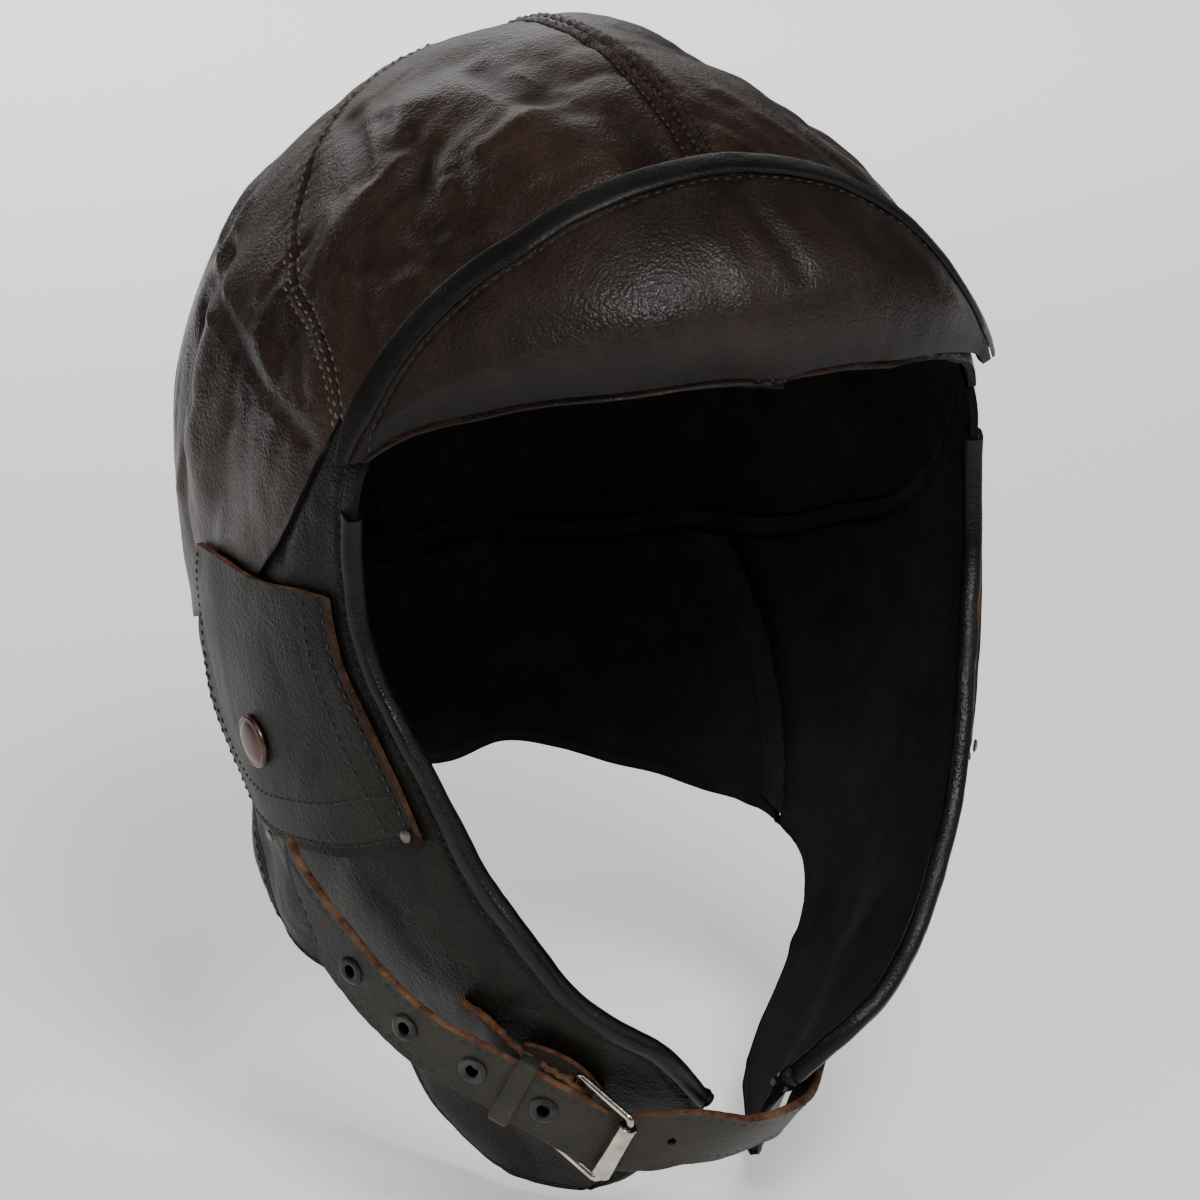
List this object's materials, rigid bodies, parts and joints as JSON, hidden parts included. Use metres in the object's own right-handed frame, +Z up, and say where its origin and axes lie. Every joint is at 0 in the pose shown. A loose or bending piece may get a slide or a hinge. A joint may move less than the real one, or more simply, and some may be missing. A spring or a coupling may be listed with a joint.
{
  "type": "leather flying helmet",
  "caption": "Soft leather flying helmet with turned-up peak, ear pockets, long ear flaps and a chin strap fastened through a roller buckle and keeper.",
  "frame": {"origin": "the point inside the crown that rests on the top of the wearer's head", "axes": "+Z up, -Y out of the face opening, +X towards the wearer's left"},
  "size_m": [0.1763, 0.2115, 0.2604],
  "materials": {
    "crown_leather": "dark brown, smooth, soft sheen, creased",
    "flap_leather": "very dark olive brown, smooth, soft sheen",
    "binding_leather": "near black, smooth, semi-gloss",
    "strap_leather": "dark brown with raw orange-brown cut edges",
    "snap_metal": "browned, domed, satin",
    "eyelet_metal": "blackened, satin",
    "buckle_metal": "nickel plate, polished, lightly worn"
  },
  "bodies": {
    "root": {"crown_front_right": "crown_leather", "crown_front_left": "crown_leather", "crown_side_right": "crown_leather", "crown_side_left": "crown_leather", "ear_flap_right": "flap_leather", "ear_flap_left": "flap_leather", "nape_panel": "flap_leather", "peak": "crown_leather", "peak_binding": "binding_leather", "face_binding_right": "binding_leather", "face_binding_left": "binding_leather", "ear_pocket_right": "flap_leather", "ear_pocket_left": "flap_leather", "snap_cap_right": "snap_metal", "snap_cap_left": "snap_metal", "front_rivet_right": "snap_metal", "front_rivet_left": "snap_metal", "rear_rivet_right": "snap_metal", "rear_rivet_left": "snap_metal", "chin_strap": "strap_leather", "eyelet_1": "eyelet_metal", "eyelet_2": "eyelet_metal", "eyelet_3": "eyelet_metal", "eyelet_4": "eyelet_metal", "buckle_frame": "buckle_metal", "buckle_roller": "buckle_metal", "buckle_tab": "strap_leather", "buckle_patch": "strap_leather", "strap_keeper": "strap_leather"}
  },
  "joints": []
}
